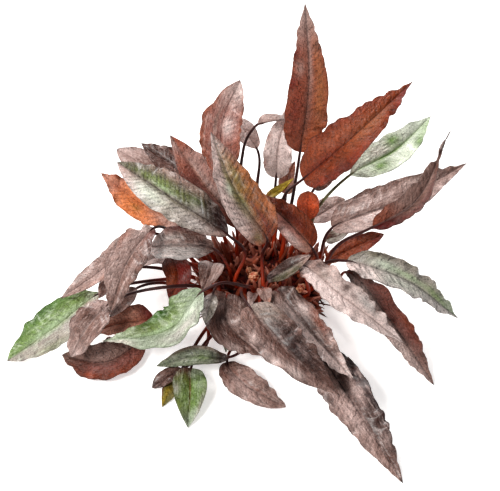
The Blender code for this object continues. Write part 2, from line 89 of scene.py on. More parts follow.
LEAVES = (
    # At the back
    Leaf("tall", 2, (300, 152, 75), (309, 80, 118), (305, 3, 150), 22, "bronze", fold=10,
         via=((294, 190, 46),)),
    Leaf("bronze", 2, (303, 179, 74), (350, 139, 96), (413, 81, 112), 26, "bronze", fold=10,
         via=((285, 195, 52),), outline=(0.5, 1.15)),
    Leaf("bronze_small", 1, (314, 189, 50), (335, 165, 62), (356, 146, 70), 13, "umber"),
    Leaf("pale_green", 1, (350, 175, 60), (395, 150, 73), (431, 116, 80), 20, "pale_green", fold=8,
         via=((316, 211, 40),), outline=(0.8, 1.1)),
    Leaf("back_rose", 1, (276, 178, 50), (279, 142, 70), (291, 105, 84), 16, "rose", fold=10),
    Leaf("back_small", 1, (257, 149, 60), (247, 134, 66), (236, 118, 70), 12, "rose",
         via=((257, 190, 38),), outline=(0.8, 0.7)),
    Leaf("curled", 1, (258, 124, 82), (272, 120, 88), (287, 119, 88), 7, "rose", fold=50,
         via=((242, 158, 62), (247, 138, 74)), outline=(0.6, 0.6)),
    Leaf("pink_upright", 1, (226, 178, 56), (222, 124, 86), (240, 80, 106), 22, "plum", fold=12,
         via=((240, 206, 30),), outline=(0.7, 0.8)),
    Leaf("centre_tall", 2, (267, 240, 54), (238, 195, 82), (211, 132, 102), 24, "grey_green", fold=16,
         via=((262, 257, 34),)),
    Leaf("centre_red", 1, (312, 248, 41), (287, 221, 54), (255, 193, 60), 19, "bronze", fold=20,
         via=((318, 262, 27),)),
    Leaf("scarlet", 2, (306, 219, 38), (308, 205, 47), (308, 191, 54), 13, "red", outline=(0.6, 0.5)),
    Leaf("yellow", 2, (266, 199, 46), (280, 189, 52), (294, 178, 57), 5, "yellow"),
    Leaf("behind_tall", 1, (286, 194, 34), (288, 177, 45), (295, 161, 52), 9, "plum"),
    # Upper left
    Leaf("olive", 2, (228, 235, 52), (175, 200, 66), (117, 162, 62), 25, "grey_green", fold=12,
         via=((245, 252, 38),), outline=(0.7, 0.9)),
    Leaf("dark_umber", 1, (214, 208, 33), (179, 171, 44), (141, 143, 50), 20, "umber",
         outline=(0.8, 1.0)),
    Leaf("far_rose", 0, (190, 205, 30), (152, 171, 38), (117, 149, 38), 17, "rose", outline=(0.9, 0.7)),
    Leaf("bronze_left", 2, (236, 228, 37), (203, 183, 54), (170, 135, 66), 20, "bronze",
         outline=(0.8, 1.0)),
    Leaf("orange_left", 1, (184, 228, 28), (140, 203, 34), (101, 173, 42), 22, "orange",
         outline=(0.8, 1.0)),
    # Left
    Leaf("grey_left", 2, (214, 249, 43), (180, 244, 49), (150, 247, 38), 20, "plum",
         via=((229, 268, 30),), outline=(0.6, 0.6)),
    Leaf("left_under", 0, (138, 233, 34), (106, 266, 37), (61, 298, 26), 13, "plum",
         via=((178, 243, 20),), outline=(0.8, 0.9)),
    Leaf("left_arching", 1, (154, 228, 53), (127, 262, 52), (110, 312, 39), 20, "plum", fold=22,
         via=((182, 241, 29),), outline=(0.8, 1.0)),
    Leaf("left_green", 0, (100, 293, 18), (59, 324, 16), (7, 361, 1), 24, "green",
         via=((168, 279, 12),), outline=(0.8, 0.9)),
    Leaf("left_brown", 1, (110, 303, 32), (87, 327, 30), (71, 357, 14), 17, "plum",
         via=((180, 286, 36),), outline=(0.6, 0.8)),
    Leaf("left_russet", 0, (154, 318, 13), (122, 323, 14), (90, 333, 9), 17, "red"),
    Leaf("left_low", 0, (146, 338, 5), (105, 362, 5), (62, 355, 1), 23, "bronze", outline=(0.7, 0.9)),
    Leaf("left_short", 0, (137, 288, 20), (123, 301, 23), (110, 317, 20), 10, "umber",
         via=((165, 283, 14),), outline=(0.9, 0.9)),
    Leaf("left_dark", 0, (118, 272, 26), (108, 284, 28), (99, 298, 26), 9, "umber",
         via=((163, 269, 22),), outline=(0.9, 0.9)),
    Leaf("dark_red", 1, (173, 257, 32), (178, 278, 31), (169, 300, 20), 15, "red"),
    Leaf("pink_left", 1, (173, 260, 24), (158, 257, 29), (138, 266, 29), 10, "rose"),
    # Front left
    Leaf("front_green", 2, (203, 291, 46), (175, 325, 36), (102, 341, 20), 22, "green", fold=14,
         via=((244, 286, 38), (217, 284, 48)), outline=(0.6, 1.3)),
    Leaf("front_short", 1, (214, 264, 25), (209, 276, 31), (202, 291, 31), 14, "plum",
         via=((220, 284, 17),)),
    Leaf("front_narrow", 1, (213, 293, 35), (209, 307, 36), (205, 324, 28), 8, "grey_green",
         via=((219, 287, 24),), outline=(0.9, 1.0)),
    Leaf("front_left", 1, (227, 294, 25), (226, 319, 23), (262, 356, 10), 24, "plum"),
    Leaf("low_grey", 0, (230, 357, 14), (195, 356, 16), (156, 366, 7), 11, "grey_green",
         outline=(0.8, 1.0)),
    Leaf("low_green", 0, (191, 368, 9), (190, 395, 8), (188, 428, 1), 18, "green"),
    Leaf("low_brown", 0, (183, 369, 6), (168, 376, 6), (152, 388, 2), 9, "umber", via=((208, 340, 4),),
         outline=(0.8, 0.8)),
    Leaf("low_yellow", 0, (178, 376, 2), (170, 391, 2), (162, 407, 1), 9, "yellow", fold=4),
    Leaf("low_plum", 0, (227, 362, 6), (247, 386, 7), (286, 407, 1), 17, "plum", outline=(0.5, 0.8)),
    Leaf("low_tip", 0, (227, 334, 15), (226, 343, 14), (226, 353, 10), 4, "green"),
    # Front right
    Leaf("front_longest", 0, (314, 346, 8), (352, 402, 14), (403, 483, 1), 25, "plum",
         outline=(0.6, 1.0)),
    Leaf("front_dark", 2, (249, 306, 47), (283, 346, 42), (340, 396, 27), 25, "umber",
         via=((241, 291, 31),)),
    Leaf("front_right", 1, (276, 290, 34), (310, 332, 28), (354, 380, 20), 19, "plum"),
    Leaf("centre_dark", 1, (267, 283, 30), (288, 269, 40), (311, 255, 47), 10, "umber",
         outline=(0.9, 0.9)),
    Leaf("centre_rose", 1, (263, 288, 37), (266, 296, 39), (269, 305, 36), 8, "rose"),
    Leaf("centre_plum", 1, (253, 293, 23), (251, 300, 26), (249, 307, 24), 6, "plum"),
    # Right
    Leaf("right_rose", 1, (303, 266, 38), (345, 298, 38), (404, 343, 20), 18, "rose"),
    Leaf("right_bronze", 0, (345, 272, 24), (391, 322, 19), (434, 385, 1), 17, "bronze",
         outline=(0.8, 1.0)),
    Leaf("right_green", 1, (347, 261, 48), (405, 279, 44), (458, 318, 22), 18, "grey_green",
         via=((324, 264, 34),)),
    Leaf("right_orange", 0, (325, 263, 24), (353, 248, 34), (384, 234, 38), 12, "orange",
         outline=(0.8, 0.8)),
    Leaf("right_plum", 1, (332, 228, 48), (393, 203, 62), (467, 163, 60), 23, "plum", outline=(0.5, 1.1)),
    Leaf("right_twisted", 1, (373, 227, 65), (408, 208, 75), (450, 131, 92), 16, "bronze", fold=40,
         via=((338, 245, 44),), outline=(0.7, 2.0)),
    Leaf("right_back", 0, (309, 222, 26), (326, 211, 31), (345, 199, 35), 14, "rose", outline=(0.8, 0.8)),
    Leaf("right_small", 0, (326, 240, 26), (338, 236, 30), (350, 231, 32), 8, "green"),
)

# Colours, as sRGB hex values.
PAINT = {
    "blush": "#DCC8C3", "petal": "#CDB7B1", "rose": "#BCA39D", "dusk": "#A68C85", "mauve": "#937870",
    "plum": "#82675F", "cocoa": "#6E544D", "damson": "#5C443E", "umber": "#4E3A35", "peat": "#3E2E2B",
    "clay": "#A8766C", "mahogany": "#7C5048", "terracotta": "#A45E44", "copper": "#9A6442",
    "bronze": "#8E5240", "rust": "#84452F", "brick": "#753526", "oxblood": "#5E2A21", "flame": "#9A4226",
    "scarlet": "#CC6444", "orange": "#CC7E54", "salmon": "#C08C7A", "apricot": "#D2A284",
    "cream": "#EAF0DE", "frost": "#DAE3CF", "mint": "#B4C8A0", "willow": "#AEB8A0", "sage": "#8E9882",
    "lichen": "#747A66", "leaf": "#7C9258", "fern": "#8CAE66", "ivy": "#4C6C36", "moss": "#6C7844",
    "drab": "#5C5642", "olive": "#80784C", "silver": "#BDB4B0", "stone": "#A0978E", "taupe": "#8C7E76",
    "sand": "#B9A98C", "ochre": "#A07440", "mustard": "#B09638", "bark": "#46312B", "reed": "#6B6A50",
}

# One leaf's looks: the paints of its base, middle and tip on its left and on its right, as seen along it
# from above, how much its margin is lobed and ruffled, its spots, and its stalk's paint at the neck. A
# spot is a paint, its middle across (-100 to 100) and along (0 to 100), its half width, its half length
# and its strength, all in hundredths. Some pale spots are painted highlights where the waxy skin catches
# the light, as noted at their leaves.
Look = namedtuple("Look", "left right crisp spots stalk", defaults=(0.5, "", "bark"))

LOOKS = {
    "tall": Look("bronze bronze dusk", "terracotta bronze dusk", 0.65, """
        dusk 8 66 16 26 70, cocoa 5 25 20 26 60, copper 60 50 30 30 70, brick -85 52 25 5 80,
        brick -85 70 25 4 80, brick -55 32 35 18 50, dusk -50 61 30 5 60, terracotta 50 12 40 10 50"""),
    "bronze": Look("rust rust rust", "rust rust brick", 1.0, """
        brick -5 22 20 25 60, terracotta -45 38 40 25 60, copper 20 60 40 20 50, brick 85 25 25 30 60,
        brick -90 60 20 30 40"""),
    "bronze_small": Look("plum rust bronze", "umber rust bronze"),
    "pale_green": Look("cream cream frost", "frost frost mint", 0.5, """
        blush -35 36 30 9 50, fern -50 54 35 8 100, fern 0 42 10 34 100, fern 45 32 35 7 100,
        fern 75 72 25 6 80""", stalk="reed"),
    "back_rose": Look("blush blush blush", "blush blush blush", 1.0, """
        bronze -90 22 22 6 70, bronze -90 55 22 5 70, dusk 0 50 7 50 70, blush 50 40 40 30 60"""),
    "back_small": Look("blush blush blush", "blush blush blush"),
    "curled": Look("rose petal silver", "mauve dusk silver", 0.9),
    # Painted highlight: the blush patch in the middle of pink_upright.
    "pink_upright": Look("clay clay rose", "salmon clay petal", 0.9, """
        blush 30 55 30 10 90, terracotta -92 45 20 50 80, damson 10 20 50 14 70, taupe -30 60 10 20 60,
        terracotta 95 50 12 50 70, bronze 65 36 40 6 60, bronze -50 35 40 6 50"""),
    "centre_tall": Look("terracotta rose petal", "rust copper mauve", 0.6, """
        petal -80 40 30 22 80, olive -15 55 22 30 90, olive 30 62 25 16 80, brick 30 20 10 25 70,
        orange 85 24 25 16 60, moss 5 42 12 10 60, frost -35 56 20 5 60, olive -50 12 30 7 70"""),
    "centre_red": Look("salmon clay rust", "rust rust rust", 0.5, """
        blush -70 30 30 18 70, oxblood 35 45 25 25 60, plum 0 40 10 35 60"""),
    "scarlet": Look("scarlet scarlet terracotta", "scarlet scarlet terracotta", 0.6, """
        scarlet -10 50 90 50 85"""),
    "yellow": Look("ochre mustard mustard", "sand mustard mustard", stalk="reed"),
    "behind_tall": Look("salmon salmon salmon", "apricot salmon salmon"),
    "olive": Look("mauve stone dusk", "peat drab drab", 0.5, """
        silver -60 22 35 12 80, peat -15 13 25 8 70, ivy 45 30 20 6 50, silver 20 25 20 6 70,
        mauve 92 50 28 28 90, drab -10 52 8 35 80, frost -50 60 30 14 60, petal -90 82 30 14 80,
        moss 30 60 20 24 90, peat 60 12 50 14 90, mint 15 55 7 10 50, umber 0 45 3.5 45 60"""),
    # Painted highlights: the two dusk patches on dark_umber.
    "dark_umber": Look("damson cocoa umber", "cocoa umber damson", 0.6, """
        dusk 10 42 40 6 80, dusk -20 24 30 6 60, bronze 70 66 15 5 70"""),
    "far_rose": Look("rose dusk dusk", "cocoa plum rose", 0.4, """
        umber 90 90 30 10 70"""),
    # Painted highlight: the rose patch low on the left of bronze_left.
    "bronze_left": Look("rust mahogany dusk", "petal dusk bronze", 0.5, """
        rose -60 30 35 14 60, salmon 0 50 6 45 70, terracotta -60 75 40 12 50, rust 60 50 40 20 50"""),
    "orange_left": Look("dusk orange salmon", "salmon orange salmon", 1.0, """
        orange -10 50 60 20 50, dusk -20 22 50 12 70, rust 90 85 30 12 80, ochre -40 50 20 6 60,
        mauve 0 36 25 8 50, brick 0 80 50 5 40"""),
    # Painted highlights: the two silver streaks on grey_left.
    "grey_left": Look("cocoa silver blush", "mauve plum rose", 0.8, """
        silver -45 50 25 25 90, cocoa -15 50 7 40 70, peat 15 15 30 14 80, oxblood 92 45 22 30 80,
        silver 35 62 18 18 70, umber 50 32 30 10 60"""),
    "left_under": Look("umber dusk mauve", "silver dusk dusk", 0.6, """
        salmon -80 45 25 30 50, petal 10 45 7 35 50"""),
    "left_arching": Look("mahogany plum plum", "petal dusk mauve", 1.2, """
        petal 0 35 6 35 50, damson -90 35 25 30 90, terracotta 85 30 20 10 50, petal -45 70 10 20 50,
        oxblood -95 10 40 10 80"""),
    "left_green": Look("plum stone stone", "leaf leaf leaf", 0.6, """
        mint 10 42 14 36 90, ivy 90 50 30 40 80, moss -85 60 20 12 50, sage -15 60 5 35 80,
        blush -50 25 30 14 40, frost 0 6 80 6 60"""),
    "left_brown": Look("umber plum rose", "rose plum dusk", 1.4, """
        petal 0 45 6 40 60, cocoa 50 30 30 10 60"""),
    # Painted highlight: the terracotta streak down the middle of left_russet.
    "left_russet": Look("brick salmon clay", "brick salmon clay", 1.1, """
        terracotta 10 55 12 40 70"""),
    # Painted sheen: the mauve patch on left_low.
    "left_low": Look("clay mahogany plum", "dusk mauve plum", 1.0, """
        mauve 25 50 25 25 60, rust -85 50 22 40 80, damson -15 50 10 35 60"""),
    "left_short": Look("rose plum rose", "umber dusk rose"),
    "left_dark": Look("umber cocoa damson", "mauve plum plum"),
    "dark_red": Look("mahogany brick rust", "mahogany rust brick"),
    "pink_left": Look("clay blush blush", "blush blush blush"),
    "front_green": Look("sage sage frost", "sage moss willow", 0.9, """
        ivy 85 42 35 20 100, silver -60 30 30 18 80, leaf 35 30 20 25 60, mint 10 48 10 30 80,
        frost -20 18 30 10 70, blush -70 85 40 14 60"""),
    "front_short": Look("dusk mauve mauve", "rose cocoa plum"),
    "front_narrow": Look("umber stone stone", "petal silver stone", 0.5, """
        cocoa 20 50 10 40 60, silver 90 50 20 40 60"""),
    # Painted highlights: the petal patches on front_left.
    "front_left": Look("cocoa plum rose", "plum cocoa mauve", 1.5, """
        peat 15 36 22 4 100, damson -25 62 30 5 80, petal -50 47 30 6 80, petal 40 20 40 5 70,
        damson 55 50 35 3.5 80, petal 75 66 25 10 70, damson 70 80 15 6 80, umber -90 35 30 20 50"""),
    "low_grey": Look("peat lichen lichen", "peat lichen lichen", 0.3, """
        leaf -20 38 35 10 60, sage -50 60 35 18 60, plum 90 45 25 40 70"""),
    "low_green": Look("lichen leaf sage", "cocoa moss lichen", 0.3, """
        bronze 0 40 3.5 28 80, silver 85 40 25 10 70, leaf 35 52 30 16 70, willow -60 36 30 6 60,
        stone -90 66 20 25 80, moss 40 20 30 10 70"""),
    "low_brown": Look("peat damson umber", "cocoa cocoa umber"),
    "low_yellow": Look("peat olive olive", "olive olive mustard", 0.5, """
        mustard 20 55 35 20 70, brick 95 50 15 40 80"""),
    "low_plum": Look("plum mauve plum", "cocoa dusk mauve", 0.9, """
        rose 10 35 30 16 60, bronze -15 40 6 30 50, bronze 70 25 20 10 40"""),
    "low_tip": Look("lichen sage lichen", "umber lichen umber"),
    # Painted highlights: the rose and petal patches on front_longest.
    "front_longest": Look("peat umber cocoa", "umber dusk mauve", 1.0, """
        peat -92 58 25 22 100, peat 0 36 5 18 90, rose 35 55 35 12 90, rose -40 44 22 9 90,
        umber 85 42 22 7 80, rose -65 76 25 4 80, peat -75 28 30 14 80, petal 75 32 20 4 70,
        mauve 30 38 20 6 70"""),
    # Painted highlights: the petal patches near the right margin of front_dark.
    "front_dark": Look("taupe umber cocoa", "plum cocoa mauve", 1.0, """
        petal 85 44 25 9 100, peat -35 50 35 25 60, dusk 0 45 3 40 70, petal 70 62 30 8 100,
        petal 80 26 25 6 70, cocoa 90 35 15 4 70, taupe -80 18 40 8 60, plum -90 40 15 30 60,
        dusk 40 45 5 25 50"""),
    # Painted highlights: the blush and petal patches on front_right.
    "front_right": Look("umber plum petal", "plum blush petal", 1.0, """
        blush -50 28 25 6 100, petal 25 46 20 20 100, bronze -80 46 25 14 70, petal 45 70 40 14 90,
        peat -10 55 6 30 80, peat 75 30 25 10 70, petal -75 62 20 5 80, umber -30 42 20 10 60"""),
    "centre_dark": Look("peat umber plum", "peat drab mauve", 0.5, """
        stone 20 55 20 35 60"""),
    "centre_rose": Look("rust mauve salmon", "bronze mauve salmon"),
    "centre_plum": Look("dusk dusk rose", "rose rose rose"),
    "right_rose": Look("dusk petal blush", "blush blush blush", 1.5, """
        umber -60 13 30 3.5 90, umber -55 40 40 3.5 90, silver -60 60 40 12 90, taupe -25 21 30 5 80,
        bronze 95 8 25 6 70, rose 0 50 4 45 70, umber -35 49 15 3 70"""),
    "right_bronze": Look("umber mahogany mauve", "umber petal rose", 1.0, """
        silver 20 30 30 10 50, mauve 10 70 35 14 60, rust -80 60 20 12 70"""),
    "right_green": Look("stone stone sage", "blush silver silver", 1.4, """
        drab -85 20 25 12 70, frost -30 28 30 10 70, mint -25 48 20 15 60, drab -90 46 20 6 70,
        umber 5 60 3.5 35 80, blush 60 18 40 12 80, leaf -30 74 30 12 60, frost 50 45 40 20 40"""),
    "right_orange": Look("rust rust bronze", "brick rust brick", 0.5, """
        oxblood -85 50 25 40 60, apricot 90 15 20 15 50"""),
    # Painted highlights: the petal patches on right_plum.
    "right_plum": Look("mauve mauve plum", "dusk rose dusk", 0.5, """
        umber 6 30 8 28 90, petal 75 14 35 10 80, damson -90 22 25 20 90, rose -40 34 18 16 80,
        petal -60 60 22 12 60, umber -30 60 5 22 70, petal 50 46 25 12 60, damson -92 46 15 5 90,
        plum -75 40 15 12 60, plum 30 70 20 10 50"""),
    # Painted highlight: the rose streak along the midrib of right_twisted.
    "right_twisted": Look("bronze mauve dusk", "oxblood plum umber", 1.4, """
        rose 0 30 8 26 90, dusk 10 60 25 10 90, oxblood 80 35 30 30 60"""),
    "right_back": Look("blush petal rose", "petal rose plum"),
    "right_small": Look("bronze plum rose", "silver stone cocoa", stalk="reed"),
}

# How each finish's own pattern shows. gloss is the roughness, and veins, net, streaks and blotches are
# shares of its brightness that they take. The next two give how far a pale silvery sheen of their paint
# covers it: painted sheen, standing both for the light's reflection on its waxy skin and for its own
# silvery bloom. midrib is how bright the midrib is against the blade, quilt is the height of its quilting
# in mm, and wax is how thick the clear wax lies on it.
Skin = namedtuple("Skin", "gloss veins net streaks blotches bloom bloom_paint midrib quilt wax")

SKINS = {
    "plum": Skin(0.32, 0.16, 0.12, 0.24, 0.18, 0.38, "petal", 0.72, 0.28, 0.34),
    "bronze": Skin(0.42, 0.24, 0.20, 0.08, 0.20, 0.06, "dusk", 0.66, 0.26, 0.03),
    "umber": Skin(0.30, 0.18, 0.12, 0.26, 0.16, 0.28, "rose", 0.75, 0.28, 0.34),
    "rose": Skin(0.36, 0.10, 0.12, 0.12, 0.12, 0.28, "blush", 0.80, 0.22, 0.18),
    "green": Skin(0.32, 0.16, 0.08, 0.18, 0.14, 0.30, "frost", 0.88, 0.22, 0.34),
    "pale_green": Skin(0.36, 0.12, 0.10, 0.10, 0.12, 0.30, "frost", 0.88, 0.20, 0.20),
    "grey_green": Skin(0.32, 0.42, 0.10, 0.12, 0.16, 0.26, "silver", 0.70, 0.48, 0.34),
    "orange": Skin(0.42, 0.14, 0.16, 0.10, 0.24, 0.12, "apricot", 0.82, 0.24, 0.04),
    "red": Skin(0.34, 0.14, 0.18, 0.20, 0.18, 0.10, "salmon", 0.78, 0.22, 0.12),
    "yellow": Skin(0.42, 0.14, 0.12, 0.15, 0.24, 0.15, "sand", 0.85, 0.18, 0.05),
}

# The blade's mesh, and the forms on it that its solid leaves out, in millimetres.
ROW_SPACING = 0.8
FEWEST_ROWS = 16
MOST_ROWS = 130
COLUMNS = 28
BLADE_THICKNESS = 0.42
SCALLOP_LENGTH = 8.5
SCALLOP_DEPTH = 1.15
SMALLEST_SCALLOP = 0.4
LOBE_LENGTH = 21.0
LOBE_DEPTH = 0.7
CRISP_LENGTH = 2.9
CRISP_DEPTH = 0.16
RUFFLE_LENGTH = 11.5
RUFFLE_HEIGHT = 1.5
LEAST_RUFFLE = 0.35
SWELL_LENGTH = 26.0
SWELL_HEIGHT = 0.8
QUILT_LENGTH = 4.2
QUILT_SLANT = 0.8
QUILT_START = 1.5
BULGE = 0.20
GROOVE_DEPTH = 0.40
GROOVE_WIDTH = 0.8
FULL_RELIEF_WIDTH = 20.0
CALM_BASE = 0.10
CALM_TIP = 0.14
RIB_DROP = 0.15
RIB_TAPER = 0.7
RIB_SINKS = (0.0, 0.12)
RIB_COMES_BACK = (0.9, 1.0)
TUBE_SIDES = 10
TUBE_SPACING = 1.2
TIP_RADIUS = 0.16
SMOOTH_ANGLE = math.radians(50)
MERGE_DISTANCE = 2e-6

# How a wave along a leaf varies: its crests' height and the change in it, how far they wander, and how
# fast both change for each turn of the wave. A notch is rounded by NOTCH_SOFTNESS.
CREST_HEIGHT = 0.58
CREST_CHANGE = 0.42
CREST_WANDER = 1.9
CHANGE_RATE = 0.31
WANDER_RATE = 0.29
NOTCH_SOFTNESS = 0.03

# Where the colours of a blade pass into each other, as shares of its length and of its half width.
BASE_TO_MIDDLE = (0.06, 0.34)
MIDDLE_TO_TIP = (0.62, 0.94)
LEFT_TO_RIGHT = (-0.16, 0.16)
DRY_TIP = (0.965, 1.0)
DRY_TIP_STRENGTH = 0.8
# Painted light and shade on the relief: ruffle crests and quilt ridges are painted paler and hollows
# darker, by this share, with the quilt counted this many times over.
RELIEF_PAINTED_LIGHT = 0.34
QUILT_PAINTED_LIGHT = 3.0
RED_FOOT = (8.0, 34.0)
RIB_SHADE = 0.6
STALK_TO_RIB = (0.0, 0.3)

# The crown: a lumpy rhizome under a thicket of young stems, with a few pale buds, and a skirt of thin
# dark rootlets that lies on the ground around it.
MOUND_SEGMENTS = 96
MOUND_RINGS = 48
LUMP_OCTAVES = (1.0, 1.9, 3.3)
KNOT_SIZE = 9.0
KNOT_DEPTH = 1.6
CORK_SIZE = 2.6
CORK_DEPTH = 0.4
DENT_WAY = np.array((1, 1, 0.6))
MOTTLE_SIZE = 5.0
MOTTLE_EDGES = (-0.6, 0.8)
MOTTLE_SHADE = 0.5
SHOOT_SIDES = 7
SHOOT_RINGS = 9
SHOOT_SHOULDER = 0.15
SHOOT_TAPER = 0.3
SHOOT_BEND = 0.2
SHOOT_JITTER = 0.1
SHOOT_HEADROOM = 26.0
GROUND_GAP = 0.05
LYING_FLATNESS = 0.6
Thicket = namedtuple("Thicket", "seed count lowest highest radius length spread curl dark")
THICKETS = (
    Thicket("shoots", 300, 0.20, 0.995, (0.80, 1.90), (6.0, 15.0), 0.65, (-0.10, 0.40), 0.0),
    # The rootlets are dark roots, and their dark paint also stands for the shade on the ground under the
    # crown: partly painted shade.
    Thicket("rootlets", 260, 0.02, 0.20, (0.30, 0.55), (4.0, 10.0), 0.80, (-0.30, 0.0), 0.9),
)
BUDS = ((254, 277, 21, 3.2), (301, 288, 17, 2.6), (249, 271, 19, 2.0))
BUD_KNOT_SIZE = 1.3
BUD_SLACK = 0.85
BUD_KNOT_HEIGHT = 0.25
BUD_TINT_EDGES = (-0.5, 0.5)

# The grain of a leaf's skin: how many millimetres its patches measure across and along the leaf, how fine
# their detail is, and the noise where they start and where they are full.
Grain = namedtuple("Grain", "across along detail start full")
GRAINS = {
    "breaks": Grain(3.0, 3.0, 2.0, 0.38, 0.62),
    "streaks": Grain(1.0, 4.5, 5.0, 0.36, 0.64),
    "bands": Grain(3.2, 9.0, 5.0, 0.42, 0.62),
    "blotches": Grain(3.4, 5.5, 3.0, 0.34, 0.66),
    "speckle": Grain(0.6, 0.8, 2.0, 0.32, 0.68),
}
VEIN_SPACING = 3.4
VEIN_SLANT = 0.85
VEIN_DRIFT = 6.0
VEIN_EDGES = (0.2, 1.0)
NET_CELL = 1.6
NET_EDGES = (0.20, 0.02)
MIDRIB_EDGES = (0.60, 0.20)
DRY_MARGIN = (0.90, 1.0)
DRY_MARGIN_STRENGTH = 0.55

# How deep the veins sink and how high the grain stands, in millimetres, and how speckled and glossy a
# leaf is.
VEIN_RELIEF = {"veins": -0.20, "net": -0.05}
GRAIN_RELIEF = {"streaks": 0.10, "blotches": 0.42, "speckle": 0.06}
SPECKLE = 0.34
SPECKLE_GLOSS = 0.16
SPECKLE_SHINE = 0.06
PLANT_IOR = 1.42
WAX_ROUGHNESS = 0.28

# How much duller, darker and redder the underside of a leaf is.
UNDERSIDE_ROUGHER = 0.12
UNDERSIDE_BRIGHTNESS = 0.9
UNDERSIDE_WARMTH = (1.0, 0.80, 0.74)

# How the colour and roughness of stalks, young stems and rhizome vary with their fibres, and with spots
# that are 1 / SPOT_SCALE as wide.
PLAIN_TONE = 0.25
FIBRE_TONE = 1.0
FIBRE_ROUGHNESS = 0.25
SPOT_TONE = 0.6
SPOT_SCALE = 0.35

# The ruler UV's unit, how far along it a leaf may start, and how far apart the young stems start on it,
# in millimetres.
RULER = 100.0
RULER_SHIFT = 400
SHOOT_SHIFT = 31

# Light and ground.
SKY_STRENGTH = 0.34
GROUND_SIZE = 8.0
# The ground glows though no lamp lights it, which washes out the shadows on it: painted light.
GROUND_GLOW = 0.42
GLOSS_VEIL = 0.026
DARKEST_PAINT = 0.004
WHITE = (1.0, 1.0, 1.0, 1.0)


def unit(vector):
    return vector / np.linalg.norm(vector)


def in_space(across, down, height):
    """The place at this height, in millimetres, that shows at this pixel of the photograph."""
    camera = camera_place()
    sight = RIGHT * (across - PICTURE_CENTRE[0]) + UPWARD * (PICTURE_CENTRE[1] - down)
    sight = sight * MM_PER_PIXEL - TOWARD * VIEW_DISTANCE
    return camera + sight * (height - camera[2]) / sight[2]


def camera_place():
    """Where the camera stands, so that the crown's middle shows at CROWN_PIXEL."""
    off_x = (CROWN_PIXEL[0] - PICTURE_CENTRE[0]) * MM_PER_PIXEL
    off_y = (PICTURE_CENTRE[1] - CROWN_PIXEL[1]) * MM_PER_PIXEL
    return TOWARD * VIEW_DISTANCE - RIGHT * off_x - UPWARD * off_y


def on_crown(azimuth, rise):
    """A place on the crown's surface, and the way straight out of it."""
    flat = math.cos(rise)
    sphere = np.array((flat * math.cos(azimuth), flat * math.sin(azimuth), math.sin(rise)))
    return sphere * CROWN_RADII, unit(sphere / CROWN_RADII)


def root_azimuths():
    """Each leaf's bearing on the crown: that of its stalk, eased apart from its neighbours' in the ring."""
    bearings = {}
    for ring, rise in enumerate(RING_ANGLES):
        wanted = []
        for leaf in LEAVES:
            if leaf.ring == ring:
                first = in_space(*(leaf.via[0] if leaf.via else leaf.neck))
                wanted.append([math.atan2(first[1], first[0]), leaf.name])
        wanted.sort()
        radius = (CROWN_RADII[0] + CROWN_RADII[1]) / 2 * math.cos(rise)
        apart = RING_SPACING / radius
        for _ in range(SPREADING_PASSES):
            for index, entry in enumerate(wanted):
                following = wanted[(index + 1) % len(wanted)]
                between = (following[0] - entry[0] + math.pi) % math.tau - math.pi
                push = max(0.0, apart - between) / 2
                entry[0] -= push
                following[0] += push
        bearings.update({name: azimuth for azimuth, name in wanted})
    return bearings


def smooth_line(points, first_way):
    """A smooth curve through the points that starts off along first_way, in SPINE_STEPS to a span."""
    spans = [second - first for first, second in zip(points, points[1:])]
    gaps = [np.linalg.norm(span) for span in spans]
    ways = [first_way]
    for before, after, gap_before, gap_after in zip(spans, spans[1:], gaps, gaps[1:]):
        mixed = before / gap_before * gap_after + after / gap_after * gap_before
        ways.append(mixed / (gap_before + gap_after))
    ways.append(unit(spans[-1]))
    line = [points[0]]
    for index, gap in enumerate(gaps):
        for step in range(1, SPINE_STEPS + 1):
            at = step / SPINE_STEPS
            line.append(
                (1 + 2 * at) * (1 - at) ** 2 * points[index]
                + at * (1 - at) ** 2 * gap * ways[index]
                + at ** 2 * (3 - 2 * at) * points[index + 1]
                + at ** 2 * (at - 1) * gap * ways[index + 1]
            )
    return np.array(line)


def blade_share(leaf, at):
    """The blade's half width, as a share of its widest, at this share of its length from the neck."""
    base, tip = leaf.outline
    widest = base / (base + tip)
    return at ** base * (1 - at) ** tip / (widest ** base * (1 - widest) ** tip)


def leaf_path(leaf, bearing):
    """The middle line of a leaf: the stalk's part from the crown to the neck, and the blade's part."""
    surface, outward = on_crown(bearing, RING_ANGLES[leaf.ring])
    root = surface + outward * ROOT_GAP
    places = [root, root + outward * ROOT_RISE]
    places += [in_space(*place) for place in (*leaf.via, leaf.neck, leaf.belly, leaf.tip)]
    line = smooth_line(places, outward)
    neck = SPINE_STEPS * (len(places) - 3)
    return line[:neck + 1], line[neck:]


def upper_faces(ahead, belly):
    """The way out of the upper face at each place, carried from the belly to both ends untwisted."""
    upper = [None] * len(ahead)
    upper[belly] = unit(UPPER_FACE - ahead[belly] * (UPPER_FACE @ ahead[belly]))
    for order in (range(belly + 1, len(ahead)), range(belly - 1, -1, -1)):
        carried = upper[belly]
        for index in order:
            carried = unit(carried - ahead[index] * (carried @ ahead[index]))
            upper[index] = carried
    return np.array(upper)


def ease(low, high, value):
    """0 below low, 1 above high, and a smooth rise between them."""
    share = np.clip((value - low) / (high - low), 0.0, 1.0)
    return share * share * (3 - 2 * share)


def linear(colour):
    """An sRGB hex value as linear red, green and blue."""
    parts = np.array([int(colour[place:place + 2], 16) / 255 for place in (1, 3, 5)])
    return np.where(parts <= 0.04045, parts / 12.92, ((parts + 0.055) / 1.055) ** 2.4)


def paint(name):
    """A paint as the skin below its gloss, whose reflection adds GLOSS_VEIL to it."""
    return np.maximum(linear(PAINT[name]) - GLOSS_VEIL, DARKEST_PAINT)


def mix(first, second, share):
    """Goes from first to second by a share for each vertex."""
    return first + (second - first) * share[:, None]


